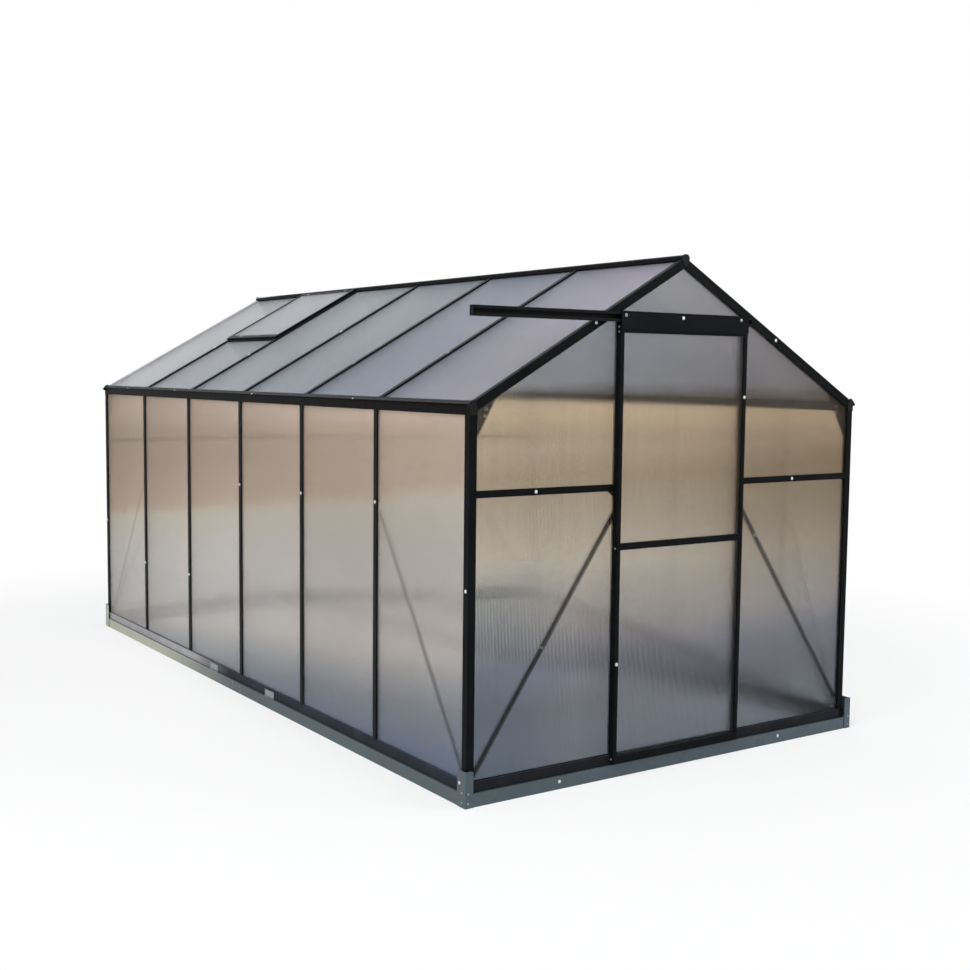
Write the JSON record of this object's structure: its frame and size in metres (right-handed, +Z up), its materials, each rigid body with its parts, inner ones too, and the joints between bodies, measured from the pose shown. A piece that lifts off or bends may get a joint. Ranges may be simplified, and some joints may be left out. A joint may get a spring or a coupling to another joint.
{
  "type": "greenhouse",
  "caption": "Ridge-roofed walk-in greenhouse of black aluminium glazing bars and twin-wall sheets on a galvanised base, with a sliding gable door and a roof vent.",
  "frame": {"origin": "on the ground, under the ridge and half way along the outline seen from above", "axes": "+Z up, +Y along the ridge from the door gable to the rear gable, +X to the right when facing the door"},
  "size_m": [1.9505, 3.7994, 1.923],
  "materials": {
    "black_aluminium": "satin",
    "galvanised_steel": "matte",
    "twin_wall_sheet": "translucent",
    "black_plastic": "matte"
  },
  "bodies": {
    "frame": {"base_rail_left": "galvanised_steel", "base_rail_right": "galvanised_steel", "base_rail_front": "galvanised_steel", "base_rail_rear": "galvanised_steel", "base_splice_plates": "galvanised_steel", "corner_brackets": "galvanised_steel", "sill_clips": "galvanised_steel", "sill_left": "black_aluminium", "sill_right": "black_aluminium", "sill_front": "black_aluminium", "sill_rear": "black_aluminium", "corner_posts": "black_aluminium", "wall_studs_left": "black_aluminium", "wall_studs_right": "black_aluminium", "door_posts": "black_aluminium", "rear_gable_posts": "black_aluminium", "eave_beam_left": "black_aluminium", "eave_beam_right": "black_aluminium", "ridge_beam": "black_aluminium", "beam_end_caps": "black_plastic", "gable_rafters_front": "black_aluminium", "gable_rafters_rear": "black_aluminium", "roof_bars_left": "black_aluminium", "roof_bars_right": "black_aluminium", "gable_rails_front": "black_aluminium", "gable_rails_rear": "black_aluminium", "wall_braces": "black_aluminium", "gable_braces": "black_aluminium", "eave_gussets": "black_aluminium", "wall_panels_left": "twin_wall_sheet", "wall_panels_right": "twin_wall_sheet", "roof_panels_left": "twin_wall_sheet", "roof_panels_right": "twin_wall_sheet", "gable_panels_front": "twin_wall_sheet", "gable_panels_rear": "twin_wall_sheet", "vent_stiles": "black_aluminium", "vent_rails": "black_aluminium", "vent_panel": "twin_wall_sheet", "vent_trimmer": "black_aluminium", "door_track": "black_aluminium"},
    "door": {"door_stiles": "black_aluminium", "door_rails": "black_aluminium", "door_panels": "twin_wall_sheet", "door_header": "black_aluminium", "door_rollers": "black_plastic"}
  },
  "joints": [
    {"name": "door_slide", "type": "slide", "parent": "frame", "child": "door", "axis": [-1, 0, 0], "range_m": [0, 0.59]}
  ]
}
